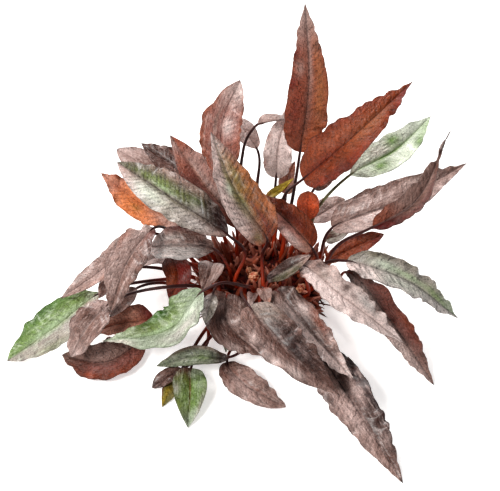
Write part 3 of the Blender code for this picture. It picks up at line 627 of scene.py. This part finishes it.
def select(*things):
    """Selects these things alone, with the first as the active one, or nothing at all."""
    bpy.ops.object.select_all(action="DESELECT")
    for thing in things:
        thing.select_set(True)
    if things:
        bpy.context.view_layer.objects.active = things[0]


def places_of(thing):
    """The places of a thing's vertices, one to a row."""
    places = np.empty(len(thing.data.vertices) * 3)
    thing.data.vertices.foreach_get("co", places)
    return places.reshape(-1, 3)


def flat_grid(name, columns, rows):
    """Blender's grid over 0 to 1 both ways, and its vertices' two coordinates."""
    select()
    bpy.ops.mesh.primitive_grid_add(x_subdivisions=columns, y_subdivisions=rows, size=1.0,
                                    location=(0.5, 0.5, 0.0))
    bpy.ops.object.transform_apply(location=True, rotation=True, scale=True)
    thing = bpy.context.object
    thing.name = name
    thing.data.name = name
    places = places_of(thing)
    return thing, places[:, 0], places[:, 1]


def set_form(thing, places, ruler, tint, form):
    """Shapes a grid: its places in mm, its ruler UV in mm, its colour, and its coordinates on the leaf."""
    mesh = thing.data
    mesh.vertices.foreach_set("co", (places * MM).ravel())
    corners = np.empty(len(mesh.loops), dtype=np.int32)
    mesh.loops.foreach_get("vertex_index", corners)
    mesh.uv_layers[0].name = "Ruler"
    mesh.uv_layers[0].uv.foreach_set("vector", (ruler[corners] / RULER).ravel())
    for name, values in (("Tint", tint), ("Form", form)):
        layer = mesh.color_attributes.new(name=name, type="FLOAT_COLOR", domain="POINT")
        layer.data.foreach_set("color", np.column_stack((values, np.ones(len(values)))).ravel())
    mesh.update()


def close_up(thing):
    """Merges the vertices that meet at seams and points, and smooths the shading."""
    select(thing)
    bpy.ops.object.mode_set(mode="EDIT")
    bpy.ops.mesh.select_all(action="SELECT")
    bpy.ops.mesh.remove_doubles(threshold=MERGE_DISTANCE)
    bpy.ops.object.mode_set(mode="OBJECT")
    bpy.ops.object.shade_smooth()


def apply_modifier(thing, kind, **settings):
    """Adds a modifier with these settings and applies it."""
    modifier = thing.modifiers.new(kind, kind)
    for name, value in settings.items():
        setattr(modifier, name, value)
    select(thing)
    bpy.ops.object.modifier_apply(modifier=modifier.name)


def join(first, *others):
    """Makes these things one, under the first's name."""
    select(first, *others)
    bpy.ops.object.join()
    return first


def stand_for(piece, name, node_name):
    """Names a finished piece, and lets it ride the root body in place of its solid."""
    piece.name = name
    piece.data.name = name
    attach(piece, "root")
    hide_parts(node_name)


class Spine:
    """A leaf's middle line with its upper face, read at any share of the stalk or the blade."""

    def __init__(self, leaf, bearing):
        stalk, blade = leaf_path(leaf, bearing)
        self.line = np.concatenate((stalk, blade[1:]))
        steps = np.linalg.norm(np.diff(self.line, axis=0), axis=1)
        self.run = np.concatenate(([0.0], np.cumsum(steps)))
        self.neck = self.run[len(stalk) - 1]
        self.length = self.run[-1] - self.neck
        ahead = np.gradient(self.line, axis=0)
        self.ahead = ahead / np.linalg.norm(ahead, axis=1)[:, None]
        belly = int(np.searchsorted(self.run, self.neck + self.length * BELLY_SHARE))
        self.upper = upper_faces(self.ahead, belly)

    def at(self, run):
        """The place, the way to the right and the upper face at these distances from the root."""
        place, ahead, upper = (
            np.stack([np.interp(run, self.run, values[:, axis]) for axis in range(3)], axis=1)
            for values in (self.line, self.ahead, self.upper)
        )
        ahead /= np.linalg.norm(ahead, axis=1)[:, None]
        upper -= ahead * (upper * ahead).sum(axis=1)[:, None]
        upper /= np.linalg.norm(upper, axis=1)[:, None]
        return place, np.cross(ahead, upper), upper


def waves(chance, run, length):
    """A wave along the leaf between -1 and 1 whose crests are unevenly spaced and high."""
    start = chance.uniform(0, math.tau)
    drift = chance.uniform(0, math.tau)
    turn = math.tau * run / length
    height = CREST_HEIGHT + CREST_CHANGE * np.sin(turn * CHANGE_RATE + drift)
    return np.sin(turn + start + CREST_WANDER * np.sin(turn * WANDER_RATE + drift)) * height


def scallops(chance, run, length):
    """Rounded lobes along a margin, from -0.4 in the notches between them to about 0.5."""
    wave = waves(chance, run, length * 2)
    return 1.5 * (wave ** 2 + NOTCH_SOFTNESS) ** 0.25 - 1.0


def blade_tint(leaf, across, share):
    """The blade's colour at each place across from -1 to 1 and along from 0 to 1."""
    look = LOOKS[leaf.name]
    sides = []
    for names in (look.left, look.right):
        base, middle, tip = [paint(name) for name in names.split()]
        side = mix(base, middle, ease(*BASE_TO_MIDDLE, share))
        sides.append(mix(side, tip, ease(*MIDDLE_TO_TIP, share)))
    tint = mix(*sides, ease(*LEFT_TO_RIGHT, across))
    for spot in filter(None, look.spots.split(",")):
        name, *hundredths = spot.split()
        middle, height, wide, long, strength = (float(number) / 100 for number in hundredths)
        near = np.exp(-((across - middle) / wide) ** 2 - ((share - height) / long) ** 2)
        tint = mix(tint, paint(name), strength * near)
    return mix(tint, paint("peat"), DRY_TIP_STRENGTH * ease(*DRY_TIP, share))


def make_blade(leaf, spine, chance):
    """The blade: a grid laid along the spine, with waved margins, quilting and a thickness."""
    rows = min(MOST_ROWS, max(FEWEST_ROWS, round(spine.length / ROW_SPACING)))
    blade, u, v = flat_grid(leaf.name + "_blade", COLUMNS, rows)
    across = 2 * u - 1
    side = np.where(across < 0, 0, 1)
    share = (v + (1 - np.cos(math.pi * v)) / 2) / 2
    run = share * spine.length
    place, right, upper = spine.at(spine.neck + run)

    half = leaf.width / 2 * blade_share(leaf, np.clip(share, 0, 1))
    small = min(1.0, leaf.width / FULL_RELIEF_WIDTH)
    fade = small * ease(0.0, CALM_BASE, share) * ease(0.0, CALM_TIP, 1 - share)
    crisp = LOOKS[leaf.name].crisp
    scallop = SCALLOP_LENGTH * (SMALLEST_SCALLOP + (1 - SMALLEST_SCALLOP) * small)
    margins = [
        SCALLOP_DEPTH * scallops(chance, run, scallop)
        + LOBE_DEPTH * waves(chance, run, LOBE_LENGTH)
        + CRISP_DEPTH * waves(chance, run, CRISP_LENGTH)
        for _ in range(2)
    ]
    ruffles = [
        RUFFLE_HEIGHT * waves(chance, run, RUFFLE_LENGTH) + SWELL_HEIGHT * waves(chance, run, SWELL_LENGTH)
        for _ in range(2)
    ]
    margin = np.where(side == 0, *margins)
    ruffle = np.where(side == 0, *ruffles)
    half = np.maximum(0.0, half + margin * fade * crisp)
    out = np.abs(across)
    reach = half * out

    rise = math.radians(leaf.fold)
    bulge = BULGE * half * (out - out ** 2)
    slanted = run - QUILT_SLANT * reach
    quilt = SKINS[leaf.finish].quilt * waves(chance, slanted, QUILT_LENGTH)
    quilt *= (1 - np.exp(-(reach / QUILT_START) ** 2)) * (1 - out ** 4)
    groove = GROOVE_DEPTH * np.exp(-(reach / GROOVE_WIDTH) ** 2)
    crease = ruffle * (LEAST_RUFFLE + (1 - LEAST_RUFFLE) * crisp) * out ** 2
    lift = reach * math.sin(rise) + bulge + fade * (crease + quilt - groove)
    sideways = np.sign(across) * reach * math.cos(rise)
    places = place + right * sideways[:, None] + upper * lift[:, None]

    # Painted light and shade: where the blade stands out it is painted paler, and where it sinks it is
    # painted darker.
    painted_relief_light = np.clip((crease + QUILT_PAINTED_LIGHT * quilt) / RUFFLE_HEIGHT, -1, 1)
    tint = blade_tint(leaf, across, share) * (1 + RELIEF_PAINTED_LIGHT * painted_relief_light * small)[:, None]
    ruler = np.column_stack((np.sign(across) * reach, run + chance.uniform(0, RULER_SHIFT)))
    set_form(blade, places, ruler, tint, np.column_stack((out, share, side)))
    close_up(blade)
    blade.data.materials.append(skins[leaf.finish])
    blade.data.materials.append(undersides[leaf.finish])
    apply_modifier(blade, "SOLIDIFY", thickness=BLADE_THICKNESS * MM, offset=-1.0, material_offset=1,
                   use_even_offset=False)
    return blade


def make_rib(leaf, spine, chance):
    """The stalk and the raised midrib below the blade, as one tapered tube."""
    total = spine.neck + spine.length
    rows = round(total / TUBE_SPACING)
    rib, u, v = flat_grid(leaf.name + "_rib", TUBE_SIDES, rows)
    run = v * total
    place, right, upper = spine.at(run)
    past = np.clip((run - spine.neck) / spine.length, 0, 1)
    before = np.clip(run / spine.neck, 0, 1)
    radius = ROOT_RADIUS + (NECK_RADIUS - ROOT_RADIUS) * before
    radius += (TIP_RADIUS - NECK_RADIUS) * past ** RIB_TAPER
    ends = (v < 0.5 / rows) | (v > 1 - 0.5 / rows)
    below = ease(*RIB_SINKS, past) * (1 - ease(*RIB_COMES_BACK, past))
    drop = (radius + RIB_DROP + GROOVE_DEPTH) * below
    turn = -math.tau * u
    round_right = np.where(ends, 0.0, radius * np.cos(turn))
    round_up = np.where(ends, 0.0, radius * np.sin(turn)) - drop
    places = place + right * round_right[:, None] + upper * round_up[:, None]
    places[v < 0.5 / rows] -= unit(spine.line[1] - spine.line[0]) * ROOT_DEPTH

    look = LOOKS[leaf.name]
    red = 1 - ease(*RED_FOOT, run)
    tint = mix(np.broadcast_to(paint(look.stalk), (run.size, 3)), paint("flame"), red)
    tint = mix(tint, paint(look.left.split()[1]) * RIB_SHADE, ease(*STALK_TO_RIB, past))
    ruler = np.column_stack((u * math.tau * NECK_RADIUS, run + chance.uniform(0, RULER_SHIFT)))
    set_form(rib, places, ruler, tint, np.column_stack((u * 0, past, u * 0)))
    close_up(rib)
    rib.data.materials.append(stalk_skin)
    return rib


def make_leaf(leaf, bearing):
    """One leaf as a single piece that stands for its solid."""
    chance = random.Random("leaf_" + leaf.name)
    spine = Spine(leaf, bearing)
    piece = join(make_blade(leaf, spine, chance), make_rib(leaf, spine, chance))
    bpy.ops.object.shade_smooth_by_angle(angle=SMOOTH_ANGLE)
    stand_for(piece, leaf.name + "_leaf", "leaf_" + leaf.name)


def lump(places, size, seed):
    """A soft bump height between -1 and 1 for each place, from a few crossed waves of this size in mm."""
    chance = random.Random(seed)
    height = np.zeros(len(places))
    for octave in LUMP_OCTAVES:
        way = np.array([chance.gauss(0, 1) for _ in range(9)]).reshape(3, 3)
        way /= np.linalg.norm(way, axis=1)[:, None]
        phase = [chance.uniform(0, math.tau) for _ in range(3)]
        turns = places @ way.T * (math.tau * octave / size) + phase
        height += np.sin(turns).prod(axis=1) / octave
    return height


def make_mound():
    """The rhizome: a dome cut off flat at the ground, with knots and hollows inside its solid's form."""
    select()
    bpy.ops.mesh.primitive_uv_sphere_add(segments=MOUND_SEGMENTS, ring_count=MOUND_RINGS, radius=1.0)
    mound = bpy.context.object
    bpy.ops.object.mode_set(mode="EDIT")
    bpy.ops.mesh.select_all(action="SELECT")
    bpy.ops.mesh.bisect(plane_co=(0, 0, 0), plane_no=(0, 0, 1), clear_inner=True, use_fill=True)
    bpy.ops.object.mode_set(mode="OBJECT")
    places = places_of(mound)
    solid = places * CROWN_RADII
    dent = KNOT_DEPTH * (0.5 - 0.5 * lump(solid, KNOT_SIZE, "mound"))
    dent += CORK_DEPTH * lump(solid, CORK_SIZE, "bark")
    solid -= places * np.maximum(dent, 0)[:, None] * DENT_WAY
    tone = ease(*MOTTLE_EDGES, lump(solid, MOTTLE_SIZE, "tone"))
    tint = mix(paint("peat") * MOTTLE_SHADE, paint("brick"), tone)
    ruler = np.column_stack((np.arctan2(solid[:, 1], solid[:, 0]) * CROWN_RADII[0], solid[:, 2]))
    set_form(mound, solid, ruler, tint, np.zeros_like(solid))
    mound.data.materials.append(rhizome_skin)
    bpy.ops.object.shade_smooth()
    return mound


def make_shoot_model():
    """One straight young stem of unit length and radius, to be copied, and its coordinates."""
    shoot, u, v = flat_grid("shoot", SHOOT_SIDES, SHOOT_RINGS)
    beyond = (v - SHOOT_SHOULDER) / (1 - SHOOT_SHOULDER)
    taper = np.sqrt(np.clip(1 - beyond ** 6, 0, 1)) * (1 - SHOOT_TAPER * v)
    taper[(v < 0.5 / SHOOT_RINGS) | (v > 1 - 0.5 / SHOOT_RINGS)] = 0
    turn = -math.tau * u
    return shoot, np.column_stack((taper * np.cos(turn), taper * np.sin(turn), v)), u, v


def shoot_tint(v, warm, dark):
    """A young stem's colour along it: rust at its foot, paler to its end the warmer it is, or dark."""
    tint = mix(paint("rust"), paint("clay"), ease(0.0, 0.5, v) * (0.2 + 0.5 * warm))
    tint = mix(tint, paint("salmon"), ease(0.2, 0.9, v) * max(0.0, warm - 0.4))
    # The dark mix is for the rootlets: partly their own colour, partly painted shade under the crown.
    return mix(tint, paint("umber") * 0.8, np.full(v.size, dark * (1 - 0.3 * warm)))


def make_thicket(kind):
    """Young stems, or rootlets, that stand out of the rhizome between two heights on it."""
    model, form, u, v = make_shoot_model()
    chance = random.Random(kind.seed)
    golden = math.pi * (3 - math.sqrt(5))
    shoots = []
    for count in range(kind.count):
        rise = math.asin(kind.lowest + (kind.highest - kind.lowest) * (count + 0.5) / kind.count)
        azimuth = golden * count + chance.uniform(-SHOOT_JITTER, SHOOT_JITTER)
        foot, outward = on_crown(azimuth, rise)
        lean = unit(outward + np.array([chance.gauss(0, kind.spread) for _ in range(3)]))
        length = chance.uniform(*kind.length)
        radius = chance.uniform(*kind.radius)
        side = unit(np.cross(lean, (0.3, 0.5, 1.0)))
        other = np.cross(lean, side)
        places = foot - outward * ROOT_DEPTH + lean * (v * (length + ROOT_DEPTH))[:, None]
        places = places + side * (form[:, 0] * radius)[:, None] + other * (form[:, 1] * radius)[:, None]
        places[:, 2] += v ** 2 * chance.uniform(*kind.curl) * length
        places += side * (chance.uniform(-SHOOT_BEND, SHOOT_BEND) * length * v ** 2)[:, None]
        lying = radius + (form[:, 1] - 1) * radius * LYING_FLATNESS
        places[:, 2] = np.where(places[:, 2] < radius, lying, places[:, 2])
        places[:, 2] = np.maximum(places[:, 2], GROUND_GAP)
        over = places[:, 2].max() - SHOOT_HEADROOM
        if over > 0:
            places[:, 2] -= over * v
        copy = model.copy()
        copy.data = model.data.copy()
        bpy.context.collection.objects.link(copy)
        tint = shoot_tint(v, chance.random(), kind.dark)
        ruler = np.column_stack((u * math.tau * radius, v * length + count * SHOOT_SHIFT))
        set_form(copy, places, ruler, tint, np.column_stack((u * 0, v, u * 0)))
        close_up(copy)
        copy.data.materials.append(shoot_skin)
        shoots.append(copy)
    bpy.data.objects.remove(model, do_unlink=True)
    return join(*shoots)


def make_bud(across, down, height, radius):
    """A pale knotted bud: a ball with deep rounded lumps."""
    select()
    bpy.ops.mesh.primitive_ico_sphere_add(subdivisions=4, radius=1.0)
    bud = bpy.context.object
    places = places_of(bud)
    knots = lump(places * radius, radius * BUD_KNOT_SIZE, f"bud{across}")
    tint = mix(paint("flame"), paint("apricot"), ease(*BUD_TINT_EDGES, knots))
    size = radius * (BUD_SLACK + BUD_KNOT_HEIGHT * knots)
    solid = places * size[:, None] + in_space(across, down, height)
    set_form(bud, solid, solid[:, :2], tint, np.zeros_like(solid))
    bud.data.materials.append(shoot_skin)
    bpy.ops.object.shade_smooth()
    return bud


def make_crown():
    """The crown as a single piece that stands for its solid."""
    grown = [make_thicket(kind) for kind in THICKETS] + [make_bud(*bud) for bud in BUDS]
    piece = join(make_mound(), *grown)
    stand_for(piece, "root_crown", "crown")


def feed(made, inputs):
    """Gives a node's inputs their values, or links them to other nodes' outputs."""
    for name, value in inputs.items():
        if isinstance(value, bpy.types.NodeSocket):
            made.id_data.links.new(value, made.inputs[name])
        else:
            made.inputs[name].default_value = value


def node(tree, kind, *values, inputs=None, output=0, **settings):
    """Adds a node with its settings, its first inputs and its named ones, and gives back one output."""
    made = tree.nodes.new("ShaderNode" + kind)
    for name, value in settings.items():
        setattr(made, name, value)
    feed(made, dict(enumerate(values)) | (inputs or {}))
    return made.outputs[output]


def new_material(name):
    """A new material, its shader, and the function that adds nodes to it."""
    material = bpy.data.materials.new(name)
    material.use_nodes = True
    tree = material.node_tree
    return material, tree.nodes["Principled BSDF"], partial(node, tree)


def stretched_noise(add, place, across, along, detail):
    """Soft noise whose patches are this many millimetres across and along the leaf."""
    scaled = add("VectorMath", place, (1 / across, 1 / along, 1.0), operation="MULTIPLY")
    return add("TexNoise", noise_dimensions="2D",
               inputs={"Vector": scaled, "Scale": 1.0, "Detail": detail, "Roughness": 0.6})


def leaf_patterns(add):
    """The vein and grain patterns of a leaf by name, all from its ruler UV in millimetres.

    Side veins leave the midrib VEIN_SPACING apart and slant to the tip, wandering a little and broken
    here and there. The net of fine veins is drawn twice as coarse as it grows, to show.
    breaks holds where the side veins are whole.
    """
    uv = add("UVMap", uv_map="Ruler")
    place = add("VectorMath", uv, (RULER, RULER, RULER), operation="MULTIPLY")
    across = add("SeparateXYZ", place)
    run = add("SeparateXYZ", place, output=1)
    out = add("Math", across, operation="ABSOLUTE")
    slant = add("Math", out, -VEIN_SLANT, run, operation="MULTIPLY_ADD")
    drift = stretched_noise(add, place, VEIN_DRIFT, VEIN_DRIFT, 2.0)
    slant = add("Math", drift, VEIN_DRIFT, slant, operation="MULTIPLY_ADD")
    wave = add("Math", slant, math.tau / VEIN_SPACING, operation="MULTIPLY")
    ridges = add("Math", wave, operation="SINE")
    cells = add("TexVoronoi", feature="DISTANCE_TO_EDGE", voronoi_dimensions="2D",
                inputs={"Vector": place, "Scale": 1 / NET_CELL, "Randomness": 1.0})
    raw = {"midrib": (out, *MIDRIB_EDGES), "ridges": (ridges, *VEIN_EDGES), "net": (cells, *NET_EDGES)}
    for name, grain in GRAINS.items():
        noise = stretched_noise(add, place, grain.across, grain.along, grain.detail)
        raw[name] = (noise, grain.start, grain.full)
    patterns = {name: add("MapRange", *edges, interpolation_type="SMOOTHSTEP")
                for name, edges in raw.items()}
    patterns["veins"] = add("Math", patterns["ridges"], patterns["breaks"], operation="MULTIPLY")
    return patterns


def leaf_skin(name, skin, brightness, warmth, relief):
    """A leaf's skin under its wax. relief is 1 where the veins sink, and -1 where they stand out."""
    material, shader, add = new_material(name)
    patterns = leaf_patterns(add)
    tone = add("Math", patterns["veins"], -skin.veins, brightness, operation="MULTIPLY_ADD")
    tone = add("Math", patterns["net"], -skin.net, tone, operation="MULTIPLY_ADD")
    for grain, amount in (("streaks", skin.streaks), ("blotches", skin.blotches), ("speckle", SPECKLE)):
        centred = add("Math", patterns[grain], 0.5, operation="SUBTRACT")
        tone = add("Math", centred, amount, tone, operation="MULTIPLY_ADD")
    midrib = add("Math", patterns["midrib"], skin.midrib - 1, 1.0, operation="MULTIPLY_ADD")
    out = add("SeparateColor", add("Attribute", attribute_name="Form"))
    margin = add("MapRange", out, *DRY_MARGIN, interpolation_type="SMOOTHSTEP")
    margin = add("Math", margin, patterns["blotches"], operation="MULTIPLY")
    margin = add("Math", margin, -DRY_MARGIN_STRENGTH, 1.0, operation="MULTIPLY_ADD")
    for darker in (midrib, margin):
        tone = add("Math", tone, darker, operation="MULTIPLY")
    tint = add("Attribute", attribute_name="Tint")
    colour = add("VectorMath", tint, warmth, operation="MULTIPLY")
    # Painted sheen: pale silvery patches from the bands and streaks, mixed into the colour for the light's
    # reflection on the wax as well as the skin's own bloom.
    bloom = add("Math", patterns["bands"], patterns["streaks"], operation="MULTIPLY")
    bloom = add("Math", bloom, skin.bloom, operation="MULTIPLY")
    silvery = (*(paint(skin.bloom_paint) * warmth), 1.0)
    colour = add("Mix", inputs={0: bloom, 6: colour, 7: silvery}, output=2, data_type="RGBA")
    colour = add("VectorMath", colour, inputs={"Scale": tone}, operation="SCALE")
    gloss = add("Math", patterns["speckle"], SPECKLE_GLOSS, skin.gloss - SPECKLE_SHINE,
                operation="MULTIPLY_ADD")
    height = 0.0
    for pattern, depth in VEIN_RELIEF.items():
        height = add("Math", patterns[pattern], depth * relief, height, operation="MULTIPLY_ADD")
    for pattern, depth in GRAIN_RELIEF.items():
        height = add("Math", patterns[pattern], depth, height, operation="MULTIPLY_ADD")
    bump = add("Bump", inputs={"Strength": 1.0, "Distance": MM, "Height": height})
    feed(shader, {"Base Color": colour, "Roughness": gloss, "Normal": bump, "IOR": PLANT_IOR,
                  "Coat Weight": skin.wax, "Coat Roughness": WAX_ROUGHNESS})
    return material


def plant_skin(name, roughness, grain, stretch, depth):
    """Stalks, young stems and rhizome: their own tint with a grain of this size in mm, stretched along.

    depth is how high the grain stands, in millimetres.
    """
    material, shader, add = new_material(name)
    uv = add("UVMap", uv_map="Ruler")
    place = add("VectorMath", uv, (RULER, RULER / stretch, RULER), operation="MULTIPLY")
    fibres, spots = [
        add("TexNoise", inputs={"Vector": place, "Scale": scale, "Detail": detail}, noise_dimensions="2D")
        for scale, detail in ((1 / grain, 4.0), (SPOT_SCALE / grain, 2.0))
    ]
    tone = add("Math", fibres, FIBRE_TONE, PLAIN_TONE, operation="MULTIPLY_ADD")
    tone = add("Math", spots, SPOT_TONE, tone, operation="MULTIPLY_ADD")
    tint = add("Attribute", attribute_name="Tint")
    colour = add("VectorMath", tint, inputs={"Scale": tone}, operation="SCALE")
    gloss = add("Math", fibres, FIBRE_ROUGHNESS, roughness, operation="MULTIPLY_ADD")
    bump = add("Bump", inputs={"Strength": 1.0, "Distance": depth * MM, "Height": fibres})
    feed(shader, {"Base Color": colour, "Roughness": gloss, "Normal": bump, "IOR": PLANT_IOR})
    return material


def add_light(name, place, size, power, colour):
    """A square soft light that looks at the plant's middle."""
    data = bpy.data.lights.new(name, "AREA")
    data.size = size
    data.energy = power
    data.color = colour
    light = bpy.data.objects.new(name, data)
    bpy.context.scene.collection.objects.link(light)
    aim = Vector(place) - Vector((0, 0, 0.05))
    light.rotation_euler = aim.to_track_quat("Z", "Y").to_euler()
    light.location = place


def make_studio():
    """A white ground with a faint glow, a white sky, a light behind for the sheen, and one in front."""
    scene = bpy.context.scene
    select()
    bpy.ops.mesh.primitive_plane_add(size=GROUND_SIZE)
    ground = bpy.context.object
    ground.name = "ground"
    material, shader, _ = new_material("lit white acrylic")
    # Painted light: the ground's own glow lightens the shadows that fall on it.
    feed(shader, {"Base Color": (0.93, 0.93, 0.92, 1.0), "Roughness": 0.9, "Emission Color": WHITE,
                  "Emission Strength": GROUND_GLOW})
    ground.data.materials.append(material)
    world = bpy.data.worlds.new("white studio")
    world.use_nodes = True
    feed(world.node_tree.nodes["Background"], {"Color": WHITE, "Strength": SKY_STRENGTH})
    scene.world = world
    add_light("sheen", (-0.4, 0.8, 0.9), 0.4, 12.0, (1.0, 0.98, 0.97))
    add_light("front", (-0.6, -0.6, 1.1), 0.35, 12.5, (1.0, 0.99, 0.97))
    scene.view_settings.view_transform = "Standard"
    scene.view_settings.look = "Medium High Contrast"


def make_camera():
    """A camera at the photograph's place, angle and framing."""
    data = bpy.data.cameras.new("camera")
    data.sensor_fit = "HORIZONTAL"
    data.sensor_width = SENSOR_WIDTH
    data.lens = SENSOR_WIDTH * VIEW_DISTANCE / (PICTURE_WIDTH * MM_PER_PIXEL)
    data.clip_start = 0.01
    camera = bpy.data.objects.new("camera", data)
    bpy.context.scene.collection.objects.link(camera)
    camera.location = camera_place() * MM
    camera.rotation_euler = (math.pi / 2 - VIEW_ELEVATION, 0.0, 0.0)
    bpy.context.scene.camera = camera


# Living leaf skin, waxy and satin: the upper face sinks along its veins. The underside of the same leaf is
# duller and redder, and its veins stand out.
skins = {}
undersides = {}
for finish, skin in SKINS.items():
    words = finish.replace("_", " ")
    skins[finish] = leaf_skin(f"waxy {words} leaf skin", skin, 1.0, (1.0, 1.0, 1.0), 1)
    dull = skin._replace(gloss=skin.gloss + UNDERSIDE_ROUGHER, wax=0.0)
    undersides[finish] = leaf_skin(f"matt {words} leaf underside", dull, UNDERSIDE_BRIGHTNESS,
                                   UNDERSIDE_WARMTH, -1)
# Stalk skin is smooth, ribbed lengthwise and a little glossy.
stalk_skin = plant_skin("ribbed leaf stalk", roughness=0.32, grain=0.9, stretch=8.0, depth=0.12)
# Young stems are tender, with a wet gloss.
shoot_skin = plant_skin("young red stem", roughness=0.28, grain=1.0, stretch=5.0, depth=0.15)
# The rhizome is corky and dull.
rhizome_skin = plant_skin("corky rhizome", roughness=0.62, grain=1.4, stretch=1.5, depth=0.5)

bearings = root_azimuths()
for leaf in LEAVES:
    make_leaf(leaf, bearings[leaf.name])
make_crown()
make_studio()
make_camera()
